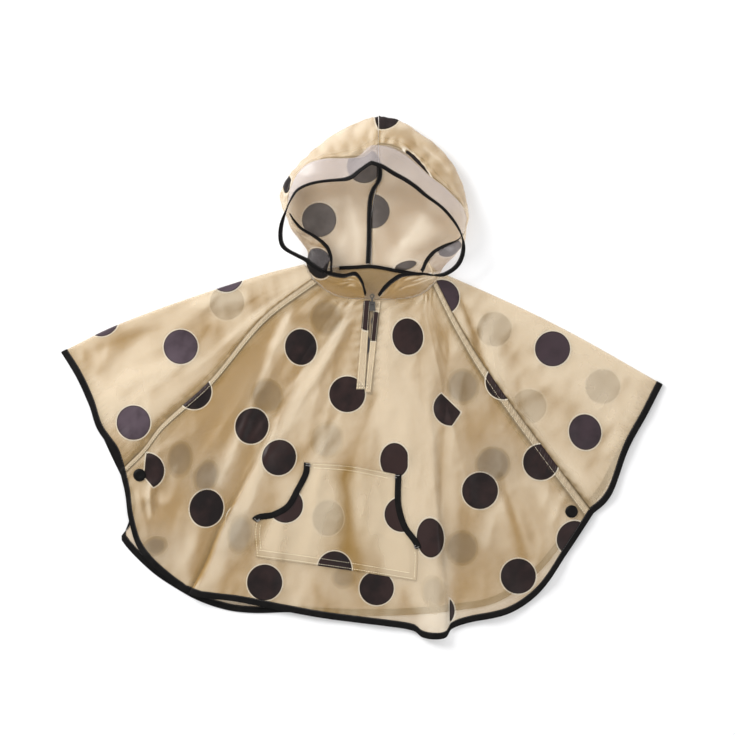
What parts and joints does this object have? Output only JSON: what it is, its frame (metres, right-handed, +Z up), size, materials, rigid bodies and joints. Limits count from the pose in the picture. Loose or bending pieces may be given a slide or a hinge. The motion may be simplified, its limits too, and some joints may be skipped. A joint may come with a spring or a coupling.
{
  "type": "toddler's hooded rain poncho laid flat",
  "caption": "Flat-laid hooded rain poncho of dotted translucent cloth, with clear visor, bound hem, half zip, kangaroo pocket and snap sides.",
  "frame": {"origin": "middle of the flat underside's bounding box, on the surface that the poncho lies on", "axes": "+Z up from that surface, +Y from the hem to the hood, +X to the right as seen from above"},
  "size_m": [0.8432, 0.7324, 0.0655],
  "materials": {
    "cloth": "semi-gloss",
    "binding": "satin",
    "visor_film": "gloss",
    "zip": "satin",
    "snap": "gloss"
  },
  "bodies": {
    "garment": {"front_panel": "cloth", "back_panel": "cloth", "side_panel_left": "cloth", "side_panel_right": "cloth", "hem_binding": "binding", "hood_left": "cloth", "hood_right": "cloth", "visor": "visor_film", "hood_edge_binding": "binding", "hood_center_seam_binding": "binding", "back_neck_seam_binding": "binding", "visor_seam_binding_left": "binding", "visor_seam_binding_right": "binding", "pocket_panel": "cloth", "pocket_binding_left": "binding", "pocket_binding_right": "binding", "zip_welt_left": "cloth", "zip_welt_right": "cloth", "zip_tape": "zip", "zip_chain": "zip", "zip_slider": "zip", "snap_cap_left": "snap", "snap_socket_left": "snap", "snap_stud_left": "snap", "snap_cap_right": "snap", "snap_socket_right": "snap", "snap_stud_right": "snap"},
    "zip_pull": {"zip_pull": "zip"}
  },
  "joints": [
    {"name": "pull_swing", "type": "hinge", "parent": "garment", "child": "zip_pull", "pos_m": [0.0142, 0.104, 0.01263], "axis": [1, 0, 0], "range_deg": [0, 165]}
  ]
}
